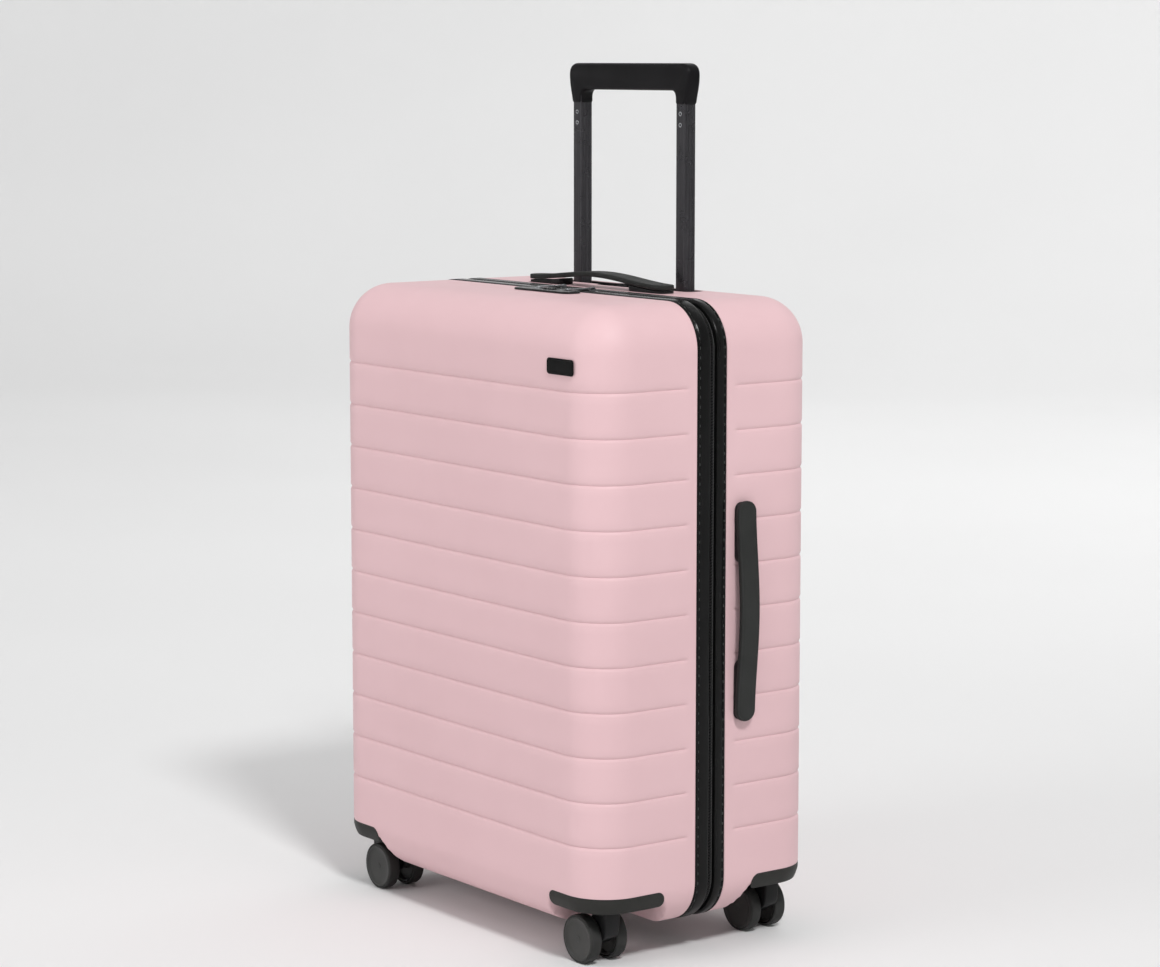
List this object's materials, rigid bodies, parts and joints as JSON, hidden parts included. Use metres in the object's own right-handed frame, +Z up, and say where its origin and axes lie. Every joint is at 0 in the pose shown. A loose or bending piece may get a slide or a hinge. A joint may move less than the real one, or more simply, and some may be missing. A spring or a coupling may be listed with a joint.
{
  "type": "hard shell suitcase on wheels",
  "caption": "Grooved hard shell suitcase with telescopic pull handle, carry handles, zip rim, corner guards and twin-wheel swivel casters; opens like a book.",
  "frame": {"origin": "centre of the bounding box on the floor, under the middle of the standing case", "axes": "+Z up; the front with the badge faces -Y; the zip side with the side carry handle faces +X; the pull handle is in the rear half at +Y"},
  "size_m": [0.4882, 0.2866, 0.891],
  "materials": {
    "shell": "satin pale pink polycarbonate",
    "black_plastic": "moulded black",
    "soft_grip": "matte dark grey",
    "binding": "glossy black binding",
    "zip_tape": "woven black",
    "lining": "woven grey",
    "anodised": "black anodised",
    "steel": "brushed",
    "tyre": "dark grey polyurethane"
  },
  "bodies": {
    "rear_case": {"rear_shell": "shell", "rear_lining": "lining", "rear_band": "binding", "rear_zip_chain": "zip_tape", "hinge_tape": "zip_tape", "handle_tray": "black_plastic", "outer_tube_left": "anodised", "outer_tube_right": "anodised", "tube_bridge": "black_plastic", "top_handle_strap": "soft_grip", "top_handle_foot_left": "black_plastic", "top_handle_foot_right": "black_plastic", "side_handle_strap": "soft_grip", "side_handle_pad_upper": "black_plastic", "side_handle_pad_lower": "black_plastic", "bumper_rear_left": "soft_grip", "bumper_rear_right": "soft_grip", "caster_socket_rear_left": "black_plastic", "caster_socket_rear_right": "black_plastic"},
    "front_case": {"front_shell": "shell", "front_lining": "lining", "front_band": "binding", "front_zip_chain": "zip_tape", "badge_plate": "black_plastic", "lock_body": "black_plastic", "bumper_front_left": "soft_grip", "bumper_front_right": "soft_grip", "caster_socket_front_left": "black_plastic", "caster_socket_front_right": "black_plastic"},
    "pull_handle": {"grip": "black_plastic", "inner_tube_left": "anodised", "inner_tube_right": "anodised", "glide_plug_left": "black_plastic", "glide_plug_right": "black_plastic"},
    "handle_release": {"grip_button": "black_plastic", "release_yoke": "steel"},
    "lock_button": {"lock_button": "steel"},
    "lock_dial_1": {"lock_dial_1": "black_plastic"},
    "lock_dial_2": {"lock_dial_2": "black_plastic"},
    "lock_dial_3": {"lock_dial_3": "black_plastic"},
    "zip_slider_left": {"zip_slider_left": "steel"},
    "zip_pull_left": {"zip_pull_left": "steel"},
    "zip_slider_right": {"zip_slider_right": "steel"},
    "zip_pull_right": {"zip_pull_right": "steel"},
    "caster_front_left": {"caster_fork_front_left": "black_plastic", "caster_axle_front_left": "steel"},
    "wheel_a_front_left": {"caster_wheel_a_front_left": "tyre"},
    "wheel_b_front_left": {"caster_wheel_b_front_left": "tyre"},
    "caster_front_right": {"caster_fork_front_right": "black_plastic", "caster_axle_front_right": "steel"},
    "wheel_a_front_right": {"caster_wheel_a_front_right": "tyre"},
    "wheel_b_front_right": {"caster_wheel_b_front_right": "tyre"},
    "caster_rear_left": {"caster_fork_rear_left": "black_plastic", "caster_axle_rear_left": "steel"},
    "wheel_a_rear_left": {"caster_wheel_a_rear_left": "tyre"},
    "wheel_b_rear_left": {"caster_wheel_b_rear_left": "tyre"},
    "caster_rear_right": {"caster_fork_rear_right": "black_plastic", "caster_axle_rear_right": "steel"},
    "wheel_a_rear_right": {"caster_wheel_a_rear_right": "tyre"},
    "wheel_b_rear_right": {"caster_wheel_b_rear_right": "tyre"}
  },
  "joints": [
    {"name": "case_hinge", "type": "hinge", "parent": "rear_case", "child": "front_case", "pos_m": [-0.24605, 0.0034, 0.352], "axis": [0, 0, -1], "range_deg": [0, 180]},
    {"name": "pull_handle_slide", "type": "slide", "parent": "rear_case", "child": "pull_handle", "axis": [0, 0, 1], "range_m": [-0.233, 0.19]},
    {"name": "grip_button_press", "type": "slide", "parent": "pull_handle", "child": "handle_release", "axis": [0, 0, -1], "range_m": [0, 0.004], "stiffness_N_per_m": 900, "springref_m": -0.003},
    {"name": "lock_button_slide", "type": "slide", "parent": "front_case", "child": "lock_button", "axis": [1, 0, 0], "range_m": [0, 0.003], "stiffness_N_per_m": 150},
    {"name": "lock_dial_1_turn", "type": "hinge", "parent": "front_case", "child": "lock_dial_1", "pos_m": [0.00045, -0.037, 0.6555], "axis": [1, 0, 0], "continuous": true},
    {"name": "lock_dial_2_turn", "type": "hinge", "parent": "front_case", "child": "lock_dial_2", "pos_m": [0.00845, -0.037, 0.6555], "axis": [1, 0, 0], "continuous": true},
    {"name": "lock_dial_3_turn", "type": "hinge", "parent": "front_case", "child": "lock_dial_3", "pos_m": [0.01645, -0.037, 0.6555], "axis": [1, 0, 0], "continuous": true},
    {"name": "zip_slider_left_run", "type": "slide", "parent": "rear_case", "child": "zip_slider_left", "axis": [-1, 0, 0], "range_m": [0, 0.16]},
    {"name": "zip_pull_left_flip", "type": "hinge", "parent": "zip_slider_left", "child": "zip_pull_left", "pos_m": [-0.02055, 0.0034, 0.6608], "axis": [-1, 0, 0], "range_deg": [0, 140]},
    {"name": "zip_slider_right_run", "type": "slide", "parent": "rear_case", "child": "zip_slider_right", "axis": [1, 0, 0], "range_m": [0, 0.145]},
    {"name": "zip_pull_right_flip", "type": "hinge", "parent": "zip_slider_right", "child": "zip_pull_right", "pos_m": [0.02945, 0.0034, 0.6608], "axis": [-1, 0, 0], "range_deg": [0, 140]},
    {"name": "swivel_front_left", "type": "hinge", "parent": "front_case", "child": "caster_front_left", "pos_m": [-0.20355, -0.103, 0.052], "axis": [0, 0, 1], "continuous": true},
    {"name": "roll_a_front_left", "type": "hinge", "parent": "caster_front_left", "child": "wheel_a_front_left", "pos_m": [-0.18855, -0.103, 0.02475], "axis": [0, 1, 0], "continuous": true},
    {"name": "roll_b_front_left", "type": "hinge", "parent": "caster_front_left", "child": "wheel_b_front_left", "pos_m": [-0.18855, -0.103, 0.02475], "axis": [0, 1, 0], "continuous": true},
    {"name": "swivel_front_right", "type": "hinge", "parent": "front_case", "child": "caster_front_right", "pos_m": [0.19045, -0.103, 0.052], "axis": [0, 0, 1], "continuous": true},
    {"name": "roll_a_front_right", "type": "hinge", "parent": "caster_front_right", "child": "wheel_a_front_right", "pos_m": [0.17545, -0.103, 0.02475], "axis": [0, 1, 0], "continuous": true},
    {"name": "roll_b_front_right", "type": "hinge", "parent": "caster_front_right", "child": "wheel_b_front_right", "pos_m": [0.17545, -0.103, 0.02475], "axis": [0, 1, 0], "continuous": true},
    {"name": "swivel_rear_left", "type": "hinge", "parent": "rear_case", "child": "caster_rear_left", "pos_m": [-0.20355, 0.103, 0.052], "axis": [0, 0, 1], "continuous": true},
    {"name": "roll_a_rear_left", "type": "hinge", "parent": "caster_rear_left", "child": "wheel_a_rear_left", "pos_m": [-0.18855, 0.103, 0.02475], "axis": [0, 1, 0], "continuous": true},
    {"name": "roll_b_rear_left", "type": "hinge", "parent": "caster_rear_left", "child": "wheel_b_rear_left", "pos_m": [-0.18855, 0.103, 0.02475], "axis": [0, 1, 0], "continuous": true},
    {"name": "swivel_rear_right", "type": "hinge", "parent": "rear_case", "child": "caster_rear_right", "pos_m": [0.19045, 0.103, 0.052], "axis": [0, 0, 1], "continuous": true},
    {"name": "roll_a_rear_right", "type": "hinge", "parent": "caster_rear_right", "child": "wheel_a_rear_right", "pos_m": [0.17545, 0.103, 0.02475], "axis": [0, 1, 0], "continuous": true},
    {"name": "roll_b_rear_right", "type": "hinge", "parent": "caster_rear_right", "child": "wheel_b_rear_right", "pos_m": [0.17545, 0.103, 0.02475], "axis": [0, 1, 0], "continuous": true}
  ]
}
